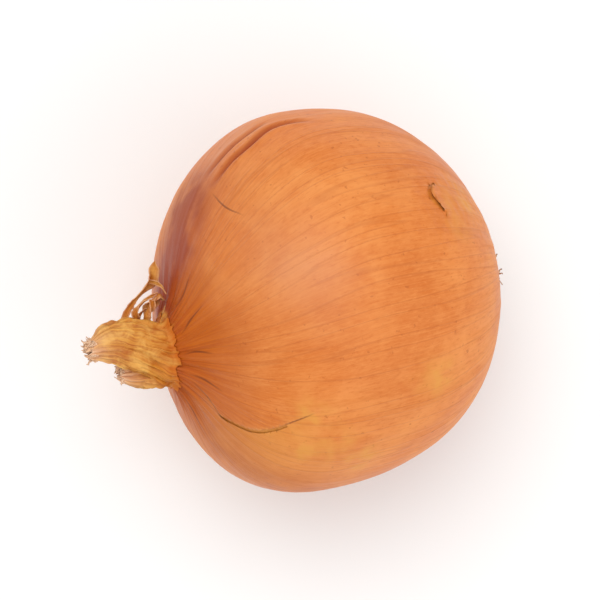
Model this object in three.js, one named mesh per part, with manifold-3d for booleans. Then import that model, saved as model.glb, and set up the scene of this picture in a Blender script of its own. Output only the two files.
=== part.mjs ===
// A dried brown onion lying on its side, in millimetres, +Z up.
// The origin is on the small flat spot that it rests on, straight below the middle of its widest ring.
// Each piece is drawn in the onion's own frame, where the origin is the middle of the widest ring and
// +Z runs from the roots to the neck. A group then lays the whole onion down.
import * as THREE from "three";
import { mergeVertices } from "three/addons/utils/BufferGeometryUtils.js";
import Module from "manifold-3d";

const wasm = await Module();
wasm.setup();

// Bulb
const BULB_DIAMETER = 75.5;
const ROOT_DEPTH = 37.5; // from the widest ring to the root end
const SHOULDER_HEIGHT = 29.5; // from the widest ring to where the skin would close if there were no neck
const FULLNESS = 2.2; // 2 is an ellipse, and more is squarer
const SHOULDER_LATITUDE = 52; // degrees, where the skin starts to sweep up into the neck
const REST_SPOT_DIAMETER = 17;

// Neck
const NECK_WIDTH = 11.2;
const NECK_DEPTH = 8; // it is squashed this flat
const NECK_RISE = 4; // from the shoulder's height to where the neck is straight
const NECK_LENGTH = 3; // the straight stretch, up to where the dried leaves part
const NECK_LEAN = 4.5; // how far the neck stands off the middle of the bulb

// Root end
const ROOT_PLATE_DIAMETER = 18;
const ROOT_PLATE_SEAT = 2.2; // depth that the root plate is sunk into the bulb
const ROOT_PLATE_PROUD = 1.6; // how far the middle of the plate bulges out past its rim
const ROOT_DIAMETER = 1.3;
const ROOT_TIP_SHARE = 0.4; // a root's tip is this much as thick as its foot
const ROOT_LIFT = 0.3; // the least gap between a lying root and the skin under it
const OUTER_ROOTS = 18;
const OUTER_ROOT_REACH = [4, 9]; // degrees of the bulb that the outer roots cover past the plate
const INNER_ROOTS = 12;
const INNER_ROOT_LENGTH = [4.5, 6.5];

// Dried leaves at the neck
const NECK_LEAF_THICKNESS = 2.6;
const FRONT_LEAF_LENGTH = 12;
const FRONT_LEAF_DRIFT = 3.2; // how far its tip leans sideways
const BACK_LEAF_LENGTH = 6.6;
const BACK_LEAF_DRIFT = -1.6;
const STRIP_THICKNESS = 0.7;
const LEAF_STRIP_WIDTH = 2.2;
const LEAF_STRIP_REACH = 12; // how far it hangs out over the shoulder
const LEAF_CURL_WIDTH = 1.3;
const LEAF_CURL_REACH = 5.4;

// How it lies
const NECK_ELEVATION = 26; // degrees that the neck points above the horizontal
const NECK_HEADING = 12; // degrees that the neck points from -X towards -Y

const CLEARANCE = 0.3; // between pieces that touch

const radians = THREE.MathUtils.degToRad;
const smoothstep = THREE.MathUtils.smoothstep;
const RADIUS = BULB_DIAMETER / 2;
const NECK_BASE = SHOULDER_HEIGHT + NECK_RISE;
const NECK_TOP = NECK_BASE + NECK_LENGTH;
const STRIP_DEPTH = -NECK_DEPTH / 4; // of the torn strips, behind the middle of the neck
const NECK_EDGE = (NECK_WIDTH / 2) * Math.cos(Math.asin((2 * STRIP_DEPTH) / NECK_DEPTH)) - NECK_LEAN; // there
const PLATE_RADIUS = ROOT_PLATE_DIAMETER / 2;
const SEAT_RADIUS = PLATE_RADIUS + CLEARANCE;
const SEAT_LATITUDE = -THREE.MathUtils.radToDeg(Math.acos((SEAT_RADIUS / RADIUS) ** (FULLNESS / 2)));
const SEAT_MOUTH = skinPoint(SEAT_LATITUDE).y;
const SEAT_FLOOR = SEAT_MOUTH + ROOT_PLATE_SEAT;

// The height of the middle of the widest ring, once the lowest part of the skin is cut flat.
const DUAL = FULLNESS / (FULLNESS - 1);
const LYING_DEPTH =
  ((ROOT_DEPTH * Math.sin(radians(NECK_ELEVATION))) ** DUAL +
    (RADIUS * Math.cos(radians(NECK_ELEVATION))) ** DUAL) **
  (1 / DUAL);
const REST_CUT = RADIUS - Math.sqrt(RADIUS ** 2 - (REST_SPOT_DIAMETER / 2) ** 2);
const MIDDLE_HEIGHT = LYING_DEPTH - REST_CUT;
const LAY_DOWN = new THREE.Euler(0, radians(NECK_ELEVATION - 90), radians(NECK_HEADING), "ZYX");

const SKIN = new THREE.MeshStandardMaterial({ color: 0xd98850, roughness: 0.45, metalness: 0 });
const DRY_LEAF = new THREE.MeshStandardMaterial({ color: 0xcf9a55, roughness: 0.75, metalness: 0 });
const PLATE = new THREE.MeshStandardMaterial({ color: 0x8a6a45, roughness: 0.9, metalness: 0 });
const ROOT = new THREE.MeshStandardMaterial({ color: 0xb8945f, roughness: 0.85, metalness: 0 });

// Radius and height of the round bulb's skin at a latitude, from -90 at the roots to 90 at the neck.
function skinPoint(latitude) {
  const up = radians(latitude);
  const height = up < 0 ? ROOT_DEPTH : SHOULDER_HEIGHT;
  const squarer = (value) => Math.sign(value) * Math.abs(value) ** (2 / FULLNESS);
  return new THREE.Vector2(RADIUS * squarer(Math.cos(up)), height * squarer(Math.sin(up)));
}

// The out-of-round share of a radius at an angle round the bulb: it fades towards the axis.
function outOfRound(radius, angle) {
  const lobes = 0.008 * Math.cos(2 * angle - 1.4) + 0.005 * Math.cos(3 * angle - 2.6);
  return 1 + lobes * (radius / RADIUS) ** 2;
}

// A point above the skin of the bulb's root half, at a distance square to the skin.
function aboveSkin(latitude, longitude, lift) {
  const round = radians(longitude);
  const skin = skinPoint(latitude);
  const along = skinPoint(latitude + 0.5).sub(skinPoint(latitude - 0.5)).normalize();
  const radius = skin.x * outOfRound(skin.x, round) + along.y * lift;
  return new THREE.Vector3(
    radius * Math.cos(round),
    radius * Math.sin(round),
    skin.y - along.x * lift,
  );
}

function toSolid(geometry) {
  const bare = geometry.clone();
  bare.deleteAttribute("normal");
  bare.deleteAttribute("uv");
  const merged = mergeVertices(bare, 1e-4);
  return new wasm.Manifold(
    new wasm.Mesh({
      numProp: 3,
      vertProperties: merged.attributes.position.array,
      triVerts: new Uint32Array(merged.index.array),
    }),
  );
}

function fromSolid(solid) {
  const mesh = solid.getMesh();
  const geometry = new THREE.BufferGeometry();
  geometry.setAttribute("position", new THREE.BufferAttribute(mesh.vertProperties, 3));
  geometry.setIndex(new THREE.BufferAttribute(mesh.triVerts, 1));
  geometry.computeVertexNormals();
  return geometry;
}

// LatheGeometry turns its outline about Y, and this stands it on Z.
function lathed(outline, sides) {
  return new THREE.LatheGeometry(outline, sides).rotateX(Math.PI / 2);
}

// Half the outline of the round bulb, from the floor of the root plate's seat to the top of the neck.
function bulbOutline() {
  const steps = 24;
  const outline = [new THREE.Vector2(0, SEAT_FLOOR), new THREE.Vector2(SEAT_RADIUS, SEAT_FLOOR)];
  for (let i = 0; i < steps; i++) {
    outline.push(skinPoint(THREE.MathUtils.lerp(SEAT_LATITUDE, SHOULDER_LATITUDE, i / steps)));
  }
  const edge = skinPoint(SHOULDER_LATITUDE);
  const slope = edge.clone().sub(skinPoint(SHOULDER_LATITUDE - 1)).normalize();
  const sweep = new THREE.CubicBezierCurve(
    edge,
    edge.clone().addScaledVector(slope, (edge.x - NECK_WIDTH / 2) * 0.45),
    new THREE.Vector2(NECK_WIDTH * 0.6, SHOULDER_HEIGHT),
    new THREE.Vector2(NECK_WIDTH / 2, NECK_BASE),
  );
  outline.push(...sweep.getPoints(9));
  outline.push(new THREE.Vector2(NECK_WIDTH / 2, NECK_TOP), new THREE.Vector2(0, NECK_TOP));
  return outline;
}

// Puts the round bulb out of round, squashes its neck and leans the neck to one side.
function shaped(geometry) {
  const position = geometry.attributes.position;
  const shoulder = skinPoint(SHOULDER_LATITUDE).y;
  for (let i = 0; i < position.count; i++) {
    const [x, y, z] = [position.getX(i), position.getY(i), position.getZ(i)];
    const share = outOfRound(Math.hypot(x, y), Math.atan2(y, x));
    const squash = THREE.MathUtils.lerp(1, NECK_DEPTH / NECK_WIDTH, smoothstep(z, shoulder, NECK_BASE));
    position.setXY(i, x * share * squash, y * share - NECK_LEAN * smoothstep(z, 0, NECK_BASE));
  }
  return geometry;
}

// Everything under the surface that the onion rests on, in the onion's own frame.
function underTheSurface() {
  const turnBack = new THREE.Quaternion().setFromEuler(LAY_DOWN).invert();
  return new THREE.BoxGeometry(2 * BULB_DIAMETER, 2 * BULB_DIAMETER, BULB_DIAMETER)
    .translate(0, 0, -MIDDLE_HEIGHT - RADIUS)
    .applyQuaternion(turnBack);
}

function bulbGeometry() {
  const whole = toSolid(shaped(lathed(bulbOutline(), 72)));
  return fromSolid(whole.subtract(toSolid(underTheSurface())));
}

// The height of the root plate's outer face at a distance from its middle.
function plateFace(radius) {
  return SEAT_MOUTH - ROOT_PLATE_PROUD * Math.cos(((radius / PLATE_RADIUS) * Math.PI) / 2);
}

function rootPlateGeometry() {
  const steps = 8;
  const outline = [];
  for (let i = 0; i <= steps; i++) {
    const radius = (PLATE_RADIUS * i) / steps;
    outline.push(new THREE.Vector2(radius, plateFace(radius)));
  }
  outline.push(new THREE.Vector2(PLATE_RADIUS, SEAT_FLOOR - CLEARANCE));
  outline.push(new THREE.Vector2(0, SEAT_FLOOR - CLEARANCE));
  return lathed(outline, 36);
}

// A strand is a lathed spindle bent along a curve, as wide as width and flattened to thickness
// towards facing. taper gives its size at each share of its length.
function strandGeometry({ points, facing, width, thickness, taper, rows, sides }) {
  const curve = new THREE.CatmullRomCurve3(points);
  const outline = [new THREE.Vector2(0, 0)];
  for (let i = 0; i <= rows; i++) outline.push(new THREE.Vector2(taper(i / rows) / 2, i / rows));
  outline.push(new THREE.Vector2(0, 1));
  const geometry = new THREE.LatheGeometry(outline, sides);
  const position = geometry.attributes.position;
  const corner = new THREE.Vector3();
  for (let i = 0; i < position.count; i++) {
    corner.fromBufferAttribute(position, i);
    const tangent = curve.getTangentAt(corner.y);
    const across = tangent.clone().cross(facing).normalize();
    const place = curve
      .getPointAt(corner.y)
      .addScaledVector(across, corner.x * width)
      .addScaledVector(across.cross(tangent), corner.z * thickness);
    position.setXYZ(i, place.x, place.y, place.z);
  }
  return geometry;
}

function named(name, geometry, material) {
  const mesh = new THREE.Mesh(geometry, material);
  mesh.name = name;
  return mesh;
}

// A number between low and high, the same ones on each build.
function vary(low, high) {
  return THREE.MathUtils.lerp(low, high, THREE.MathUtils.seededRandom());
}

function rootStrand(points, facing) {
  const taper = (share) => THREE.MathUtils.lerp(1, ROOT_TIP_SHARE, share ** 1.5);
  const size = { width: ROOT_DIAMETER, thickness: ROOT_DIAMETER };
  return strandGeometry({ points, facing, ...size, taper, rows: 7, sides: 6 });
}

// A point out from the face of the root plate.
function abovePlate(radius, longitude, rise) {
  const round = radians(longitude);
  return new THREE.Vector3(radius * Math.cos(round), radius * Math.sin(round), plateFace(radius) - rise);
}

// An outer root leaves the plate near its rim and lies back along the skin of the bulb.
function outerRoot(index) {
  const longitude = (360 / OUTER_ROOTS) * (index + vary(-0.1, 0.1));
  const start = PLATE_RADIUS * 0.72;
  const lift = ROOT_DIAMETER / 2 + ROOT_LIFT;
  const tipLift = (ROOT_DIAMETER * ROOT_TIP_SHARE) / 2 + ROOT_LIFT;
  const reach = vary(...OUTER_ROOT_REACH);
  const wander = vary(-6, 6);
  const points = [
    abovePlate(start, longitude, CLEARANCE + ROOT_DIAMETER * 0.35),
    abovePlate(start + ROOT_DIAMETER * 0.6, longitude, ROOT_DIAMETER * 1.1),
    aboveSkin(SEAT_LATITUDE + 1, longitude + wander * 0.3, lift),
    aboveSkin(SEAT_LATITUDE + reach, longitude + wander, tipLift + vary(0, 0.9)),
  ];
  return rootStrand(points, new THREE.Vector3(0, 0, 1));
}

// An inner root stands out of the middle of the plate and leans over.
function innerRoot(index) {
  const longitude = (360 / INNER_ROOTS) * (index + vary(-0.1, 0.1));
  const start = PLATE_RADIUS * 0.42;
  const length = vary(...INNER_ROOT_LENGTH);
  const twist = vary(-8, 8);
  const points = [
    abovePlate(start, longitude, CLEARANCE + ROOT_DIAMETER * 0.13),
    abovePlate(start + length * 0.12, longitude, length * 0.38),
    abovePlate(start + length * 0.75, longitude + twist, length * 0.55),
  ];
  const round = radians(longitude);
  return rootStrand(points, new THREE.Vector3(-Math.sin(round), Math.cos(round), 0));
}

// A dried leaf that goes on from the neck. layer is its place through the neck, and drift is how far
// its tip leans sideways. It narrows along most of its length.
function neckLeaf({ layer, width, length, drift }) {
  const foot = NECK_TOP + CLEARANCE;
  const at = (share, aside) => new THREE.Vector3(layer, aside - NECK_LEAN, foot + length * share);
  return strandGeometry({
    points: [at(0, 0), at(0.3, 0), at(0.65, drift * 0.45), at(1, drift)],
    facing: new THREE.Vector3(1, 0, 0),
    width,
    thickness: NECK_LEAF_THICKNESS,
    taper: (share) => 1 - 0.68 * smoothstep(share, 0.15, 1),
    rows: 9,
    sides: 14,
  });
}

// A torn strip of dried leaf that springs from the side of the neck, behind the dried leaves. Its places
// are how far out from the neck and how far up from its top.
function tornStrip({ places, width, taper }) {
  const at = ([out, up]) => new THREE.Vector3(STRIP_DEPTH, NECK_EDGE + CLEARANCE + out, NECK_TOP + up);
  return strandGeometry({
    points: places.map(at),
    facing: new THREE.Vector3(1, 0, 0),
    width,
    thickness: STRIP_THICKNESS,
    taper,
    rows: 10,
    sides: 8,
  });
}

// The long strip springs from near the top of the neck, and it is widest near its far end.
function longStrip() {
  const reach = LEAF_STRIP_REACH;
  return tornStrip({
    places: [[0.22, -0.9], [reach * 0.3, 0.1], [reach * 0.62, -reach * 0.17], [reach, -reach * 0.48]],
    width: LEAF_STRIP_WIDTH,
    taper: (share) => 0.45 + 0.55 * smoothstep(share, 0.35, 0.7) - 0.7 * smoothstep(share, 0.8, 1),
  });
}

// The short strip is curled round under the long one.
function curledStrip() {
  const reach = LEAF_CURL_REACH;
  return tornStrip({
    places: [[0.26, -2.4], [reach * 0.6, -2.5], [reach, -3.4], [reach * 0.75, -4.4]],
    width: LEAF_CURL_WIDTH,
    taper: (share) => 1 - 0.5 * share,
  });
}

const onion = new THREE.Group();
onion.rotation.copy(LAY_DOWN);
onion.position.z = MIDDLE_HEIGHT;

onion.add(named("bulb", bulbGeometry(), SKIN));
onion.add(named("root_plate", rootPlateGeometry(), PLATE));

THREE.MathUtils.seededRandom(7);
for (let i = 0; i < OUTER_ROOTS; i++) onion.add(named(`outer_root_${i + 1}`, outerRoot(i), ROOT));
for (let i = 0; i < INNER_ROOTS; i++) onion.add(named(`inner_root_${i + 1}`, innerRoot(i), ROOT));

const LAYER = (NECK_LEAF_THICKNESS + CLEARANCE) / 2;
const FRONT = { layer: LAYER, width: NECK_WIDTH * 0.95, length: FRONT_LEAF_LENGTH, drift: FRONT_LEAF_DRIFT };
const BACK = { layer: -LAYER, width: NECK_WIDTH * 0.85, length: BACK_LEAF_LENGTH, drift: BACK_LEAF_DRIFT };
onion.add(named("neck_leaf_front", neckLeaf(FRONT), DRY_LEAF));
onion.add(named("neck_leaf_back", neckLeaf(BACK), DRY_LEAF));
onion.add(named("leaf_strip", longStrip(), DRY_LEAF));
onion.add(named("leaf_curl", curledStrip(), DRY_LEAF));

const part = new THREE.Group();
part.add(onion);

export default part;
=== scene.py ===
"""A dried brown onion lying on its side, with its neck to the left and tipped up a little.

Every piece is worked out in the onion's own frame, in metres: the origin is the middle of the widest
ring and +Z runs from the roots to the neck. lay_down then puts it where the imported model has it.
Places on the skin are a latitude, from -90 at the roots to 90 at the neck, and a longitude. Longitude 0
faces up, and 90 faces +Y.
"""

import math

import bpy
import numpy as np
from mathutils import Matrix, Vector, noise


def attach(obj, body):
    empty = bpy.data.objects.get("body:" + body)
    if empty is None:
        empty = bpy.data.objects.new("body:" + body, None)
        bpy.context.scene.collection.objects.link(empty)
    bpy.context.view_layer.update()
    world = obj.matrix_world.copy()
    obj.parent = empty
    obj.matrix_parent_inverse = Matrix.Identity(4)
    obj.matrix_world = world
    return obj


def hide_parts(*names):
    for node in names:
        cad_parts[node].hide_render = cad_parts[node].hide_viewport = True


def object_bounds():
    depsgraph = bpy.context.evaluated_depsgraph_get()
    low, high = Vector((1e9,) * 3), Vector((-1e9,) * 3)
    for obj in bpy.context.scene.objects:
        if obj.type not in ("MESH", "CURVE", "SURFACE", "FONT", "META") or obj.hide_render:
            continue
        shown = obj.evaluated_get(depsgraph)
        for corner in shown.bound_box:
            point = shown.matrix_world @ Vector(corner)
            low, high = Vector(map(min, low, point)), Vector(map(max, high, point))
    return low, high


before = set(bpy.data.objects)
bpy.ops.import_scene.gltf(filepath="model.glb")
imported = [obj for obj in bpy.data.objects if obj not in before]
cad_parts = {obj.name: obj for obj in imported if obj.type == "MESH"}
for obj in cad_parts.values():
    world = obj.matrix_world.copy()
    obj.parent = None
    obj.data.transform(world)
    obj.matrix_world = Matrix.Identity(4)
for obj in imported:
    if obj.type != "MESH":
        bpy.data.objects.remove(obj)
CAD_BOX = [list(corner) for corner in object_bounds()]

MM = 0.001

# The bulb, as packed.
RADIUS = 37.75 * MM
ROOT_DEPTH = 37.5 * MM
SHOULDER_HEIGHT = 29.5 * MM
FULLNESS = 2.2
SHOULDER_LATITUDE = 52
NECK_WIDTH = 11.2 * MM
NECK_DEPTH = 8 * MM
NECK_BASE = SHOULDER_HEIGHT + 4 * MM
NECK_TOP = NECK_BASE + 3 * MM
NECK_LEAN = 4.5 * MM
SEAT_RADIUS = 9.3 * MM
SEAT_DEPTH = 2.2 * MM
SEAT_MIDDLE = 0.8 * MM  # the seat's floor starts this far from its middle, under the plate
PLATE_RADIUS = 9 * MM
PLATE_PROUD = 1.6 * MM

# How it lies, as packed.
NECK_ELEVATION = 26
NECK_HEADING = 12
MIDDLE_HEIGHT = 37.58 * MM

LAY_DOWN = (
    Matrix.Translation((0, 0, MIDDLE_HEIGHT))
    @ Matrix.Rotation(math.radians(NECK_HEADING), 4, "Z")
    @ Matrix.Rotation(math.radians(NECK_ELEVATION - 90), 4, "Y")
)

# The outer skin stands SKIN_GAP off the skin under it. Where it is torn its edge curls up by TORN_CURL,
# and the curl fades over CURL_REACH. Where a lap's gap would be narrower than NARROWEST_GAP it is shut.
SKIN_GAP = 0.12 * MM
TORN_CURL = 0.3 * MM
CURL_REACH = 1.3 * MM
NARROWEST_GAP = 0.55 * MM

random = np.random.default_rng(11)


# ---- Small tools ----


def smoothstep(value, low, high):
    share = np.clip((value - low) / (high - low), 0, 1)
    return share * share * (3 - 2 * share)


def unit(vectors):
    return vectors / np.maximum(np.linalg.norm(vectors, axis=-1, keepdims=True), 1e-12)


def field(points, size, seed, octaves=3):
    """Smooth noise from about -1 to 1, with lumps about as wide as size."""
    shift = Vector((seed * 17.3, seed * -9.1, seed * 4.7))
    flat = (np.asarray(points) / size).reshape(-1, 3)
    values = [noise.fractal(Vector(p) + shift, 1.0, 2.0, octaves) for p in flat]
    return np.array(values).reshape(np.shape(points)[:-1])


def along_curve(points, count):
    """count evenly spaced points on a smooth curve through a few points, of any number of columns."""
    points = np.asarray(points, float)
    padded = np.vstack([2 * points[0] - points[1], points, 2 * points[-1] - points[-2]])
    dense = []
    for a, b, c, d in zip(padded, padded[1:], padded[2:], padded[3:]):
        t = np.linspace(0, 1, 24, endpoint=False)[:, None]
        dense.append(0.5 * (2 * b + (c - a) * t + (2 * a - 5 * b + 4 * c - d) * t**2
                            + (3 * b - a - 3 * c + d) * t**3))
    dense = np.vstack(dense + [points[-1:]])
    length = np.r_[0, np.cumsum(np.linalg.norm(np.diff(dense[:, :3], axis=0), axis=1))]
    places = np.linspace(0, length[-1], count)
    return np.stack([np.interp(places, length, column) for column in dense.T], axis=1)


def laid_down(points, clear):
    """Points as they lie, with whatever would go under the floor pressed flat just above it."""
    turned = points @ np.array(LAY_DOWN.to_3x3()).T + np.array(LAY_DOWN.translation)
    turned[:, 2] = np.maximum(turned[:, 2], clear)
    return turned


def unwrap(mesh, uv):
    """The map that surface colours are baked on. uv goes once round the onion, so the faces that close
    the round take their far side from 1 rather than 0."""
    corner_points = np.empty(len(mesh.loops), int)
    mesh.loops.foreach_get("vertex_index", corner_points)
    places = uv[corner_points]
    starts = np.empty(len(mesh.polygons), int)
    mesh.polygons.foreach_get("loop_start", starts)
    widest = np.maximum.reduceat(places[:, 0], starts)
    face_of = np.repeat(np.arange(len(starts)), np.diff(np.r_[starts, len(places)]))
    places[:, 0] = np.where((widest[face_of] > 0.9) & (places[:, 0] < 0.1), 1.0, places[:, 0])
    mesh.uv_layers.new(name="OFBake").data.foreach_set("uv", places.ravel())


def piece(name, points, faces, material, slot, nodes=(), clear=0.03 * MM, uv=None, **attributes):
    """A smooth-shaded mesh from points in the onion's own frame, laid down and riding on the onion."""
    used = np.unique(np.concatenate(list(faces)))
    mesh = bpy.data.meshes.new(name)
    places = laid_down(np.asarray(points)[used], clear)
    mesh.from_pydata(places.tolist(), [], [np.searchsorted(used, face).tolist() for face in faces])
    mesh.polygons.foreach_set("use_smooth", [True] * len(mesh.polygons))
    for key, values in attributes.items():
        values = np.asarray(values)[used]
        kind = "FLOAT_VECTOR" if values.ndim == 2 else "FLOAT"
        layer = mesh.attributes.new(key, kind, "POINT")
        layer.data.foreach_set("vector" if values.ndim == 2 else "value", values.ravel())
    mesh.materials.append(material)
    mesh.update()
    if uv is not None:
        unwrap(mesh, np.asarray(uv)[used])
    thing = bpy.data.objects.new(name, mesh)
    bpy.context.scene.collection.objects.link(thing)
    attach(thing, "root")
    if nodes:
        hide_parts(*nodes)
    return thing


def grid_faces(rows, columns, wrap):
    """Quads over a grid of points stored row by row, closed round in each row if wrap is set."""
    last = columns if wrap else columns - 1
    row, column = np.meshgrid(np.arange(rows - 1), np.arange(last), indexing="ij")
    after = (column + 1) % columns
    corners = [row * columns + column, row * columns + after, (row + 1) * columns + after,
               (row + 1) * columns + column]
    return np.stack(corners, axis=-1).reshape(-1, 4)


def kept_faces(faces, kept):
    """The quads whose points are all kept, and a triangle for each quad that keeps three of its four."""
    held = kept[faces]
    triangles = faces[held.sum(axis=1) == 3]
    triangles = triangles[kept[triangles]].reshape(-1, 3)
    return list(faces[held.all(axis=1)]) + list(triangles)


def thicken(thing, thickness):
    """Gives a sheet its thickness, half on each side, so that its edges show."""
    solid = thing.modifiers.new("thickness", "SOLIDIFY")
    solid.thickness = thickness
    solid.offset = 0
    solid.use_even_offset = False
    with bpy.context.temp_override(object=thing, active_object=thing, selected_objects=[thing]):
        bpy.ops.object.modifier_apply(modifier=solid.name)


# ---- The skin's shape ----


def skin_point(latitude):
    """Radius and height of the round bulb at latitudes in degrees."""
    up = np.radians(latitude)
    depth = np.where(up < 0, ROOT_DEPTH, SHOULDER_HEIGHT)

    def squarer(value):
        return np.sign(value) * np.abs(value) ** (2 / FULLNESS)

    return np.stack([RADIUS * squarer(np.cos(up)), depth * squarer(np.sin(up))], axis=-1)


def bezier(points, count):
    """count points on the curve that four control points give."""
    a, b, c, d = np.asarray(points)
    t = np.linspace(0, 1, count)[:, None]
    return a * (1 - t) ** 3 + 3 * b * t * (1 - t) ** 2 + 3 * c * t**2 * (1 - t) + d * t**3


def skin_outline():
    """Radius and height along the bulb, from the floor of the root seat to the top of the neck."""
    seat_latitude = -math.degrees(math.acos((SEAT_RADIUS / RADIUS) ** (FULLNESS / 2)))
    round_part = skin_point(np.linspace(seat_latitude, SHOULDER_LATITUDE, 160))
    floor = round_part[0, 1] + SEAT_DEPTH
    edge = round_part[-1]
    slope = unit(edge - round_part[-2])
    half_neck = NECK_WIDTH / 2
    handle = edge + slope * (edge[0] - half_neck) * 0.45
    sweep = bezier([edge, handle, (NECK_WIDTH * 0.6, SHOULDER_HEIGHT), (half_neck, NECK_BASE)], 60)
    seat = [(SEAT_MIDDLE, floor), (SEAT_RADIUS, floor)]
    return np.vstack([seat, round_part, sweep[1:], [(half_neck, NECK_TOP)]])


OUTLINE = skin_outline()
ALONG = np.r_[0, np.cumsum(np.linalg.norm(np.diff(OUTLINE, axis=0), axis=1))]
MOUTH = ALONG[2]  # the seat's mouth, where the skin starts
NECK_END = ALONG[-1]
SKIN_END = NECK_END - 2.2 * MM  # the skins stop here, under the leaves round the neck
SWEEP_START = skin_point(np.array([SHOULDER_LATITUDE]))[0, 1]


def plain_skin(along, turn):
    """Points of the bulb with no relief, at distances along the outline and angles round it."""
    radius = np.interp(along, ALONG, OUTLINE[:, 0])
    height = np.interp(along, ALONG, OUTLINE[:, 1])
    lobes = 0.008 * np.cos(2 * turn - 1.4) + 0.005 * np.cos(3 * turn - 2.6)
    share = 1 + lobes * (radius / RADIUS) ** 2
    squash = 1 + (NECK_DEPTH / NECK_WIDTH - 1) * smoothstep(height, SWEEP_START, NECK_BASE)
    lean = NECK_LEAN * smoothstep(height, 0, NECK_BASE)
    x = radius * share * squash * np.cos(turn)
    y = radius * share * np.sin(turn) - lean
    return np.stack([x, y, height], axis=-1)


def outward(along, turn):
    """Directions that point straight out of the plain bulb."""
    step = 0.4 * MM
    angle = 0.02
    up = plain_skin(along + step, turn) - plain_skin(along - step, turn)
    round_ = plain_skin(along, turn + angle) - plain_skin(along, turn - angle)
    return unit(np.cross(round_, up))


def latitude_of(along):
    """Latitudes, in degrees, at distances along the outline."""
    radius = np.interp(along, ALONG, OUTLINE[:, 0]) / RADIUS
    height = np.interp(along, ALONG, OUTLINE[:, 1])
    height = height / np.where(height < 0, ROOT_DEPTH, SHOULDER_HEIGHT)
    power = FULLNESS / 2
    return np.degrees(np.arctan2(np.sign(height) * np.abs(height) ** power, radius**power))


LATITUDES = latitude_of(ALONG[2:])


def spot(latitude, longitude):
    """Distance along the outline and angle of a place on the skin."""
    return np.interp(latitude, LATITUDES, ALONG[2:]), np.radians(longitude)


def line_side(points, places):
    """Distance from each point to a line over the skin, and the share of the way along it. The distance
    is below zero on the right of the line, seen from outside."""
    stops = along_curve([plain_skin(*spot(*place)) for place in places], 4 * len(places))
    nearest = np.full(points.shape[:-1], np.inf)
    share = np.zeros(points.shape[:-1])
    side = np.ones(points.shape[:-1])
    for index, (a, b) in enumerate(zip(stops, stops[1:])):
        t = np.clip(((points - a) @ (b - a)) / ((b - a) @ (b - a)), 0, 1)
        away = points - a - t[..., None] * (b - a)
        distance = np.linalg.norm(away, axis=-1)
        closer = distance < nearest
        nearest = np.where(closer, distance, nearest)
        share = np.where(closer, (index + t) / (len(stops) - 1), share)
        side = np.where(closer, np.sign(away @ np.cross(a, b - a)), side)
    return nearest * side, share


def line_distance(points, places):
    """The same on both sides of the line, never below zero."""
    distance, share = line_side(points, places)
    return np.abs(distance), share


def along_fade(share, blunt=0.6):
    """From 0 at the ends of a line to 1 in its middle."""
    return np.sin(np.pi * np.clip(share, 0.01, 0.99)) ** blunt


def grain_grid(turn, lengthwise):
    """Coordinates that fibres follow, from angles round a piece and places along it."""
    return np.stack(np.broadcast_arrays(np.cos(turn), np.sin(turn), lengthwise), axis=-1)


def grain_of(along, turn):
    """The same for the skin, whose veins and fibres run from the roots to the neck."""
    return grain_grid(turn, along / RADIUS)


# Two long folds, side by side.
INNER_FOLD = [(39, 70), (30, 69), (22, 67), (11, 67), (0, 62)]
OUTER_FOLD = [(37, 78), (26, 76), (18, 74), (9, 73)]

# Dents that run over the skin: the places along each one and its depth in millimetres.
CREASES = [
    (INNER_FOLD, 0.6),
    (OUTER_FOLD, 0.4),
    ([(8, -12), (-4, -9), (-20, -10)], 0.1),
    ([(56, 30), (38, 22), (20, 20)], 0.1),
    ([(40, 150), (10, 162), (-25, 158)], 0.3),
    ([(30, -120), (5, -128), (-20, -124)], 0.35),
]

# Thin dark lines on the skin: painted shade along the deeper dents, a painted shadow under the crack's curled
# lip, and the edge of a lower layer where it shows through.
SHADE_AND_SKIN_LINES = [
    [(42, 68), (43, 55), (40, 44)],
    INNER_FOLD,
    OUTER_FOLD,
    # the next two: painted shadow under the crack's curled lip
    [(79, -42), (75, -47), (71, -51), (66, -57), (62, -56)],
    [(44, -44), (37, -39), (31, -36)],
    [(80, 20), (75, 26), (68, 28)],
    [(81, -8), (76, -6), (69, -9)],
    [(80, -36), (74, -34), (66, -37)],
    [(79, 56), (73, 52), (66, 55)],
    [(80, -96), (74, -92), (66, -95)],
    [(12, 138), (-8, 134), (-26, 137)],
    [(36, -88), (20, -85), (6, -86)],
    [(-4, -120), (-16, -116), (-30, -119)],
]


def near(points, places, reach):
    """A share that is 1 on a line over the skin and fades out round it, over a reach in millimetres."""
    return np.exp(-((line_distance(points, places)[0] / (reach * MM)) ** 2))


def in_fold(points, places, reach):
    """The same, fading towards the ends of the line as a fold does."""
    distance, share = line_distance(points, places)
    return np.exp(-((distance / (reach * MM)) ** 2)) * along_fade(share)


def relief(along, turn):
    """How far the skin stands above the plain bulb."""
    points = plain_skin(along, turn)
    grain = grain_of(along, turn)
    latitude = latitude_of(along)
    near_neck = smoothstep(latitude, 56, 82)
    near_roots = smoothstep(-latitude, 60, 76)
    body = 1 - smoothstep(latitude, 80, 88)
    rise = 0.3 * MM * field(points, 24 * MM, 1, 2) * body
    rise += 0.08 * MM * field(grain * (9, 9, 1.1), 1, 2, 3)
    pleats = field(grain * (3.6, 3.6, 0.5), 1, 3, 3)
    rise += (0.3 + 0.5 * near_neck) * near_neck * MM * (0.3 - np.abs(pleats) * 1.5)
    puckers = field(grain * (6, 6, 0.8), 1, 4, 3)
    rise += 0.5 * MM * near_roots * puckers
    rise += 0.16 * MM * near(points, [(-20, 20), (-38, 25)], 8) * field(points, 1.5 * MM, 5, 2)
    for places, depth in CREASES:
        distance, share = line_distance(points, places)
        fade = depth * MM * along_fade(share)
        rise -= fade * np.exp(-((distance / (0.6 * MM)) ** 2))
        rise += 0.5 * fade * np.exp(-(((distance - 1.5 * MM) / (0.8 * MM)) ** 2))
    return rise * smoothstep(along, MOUTH, MOUTH + 1.5 * MM)


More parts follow.
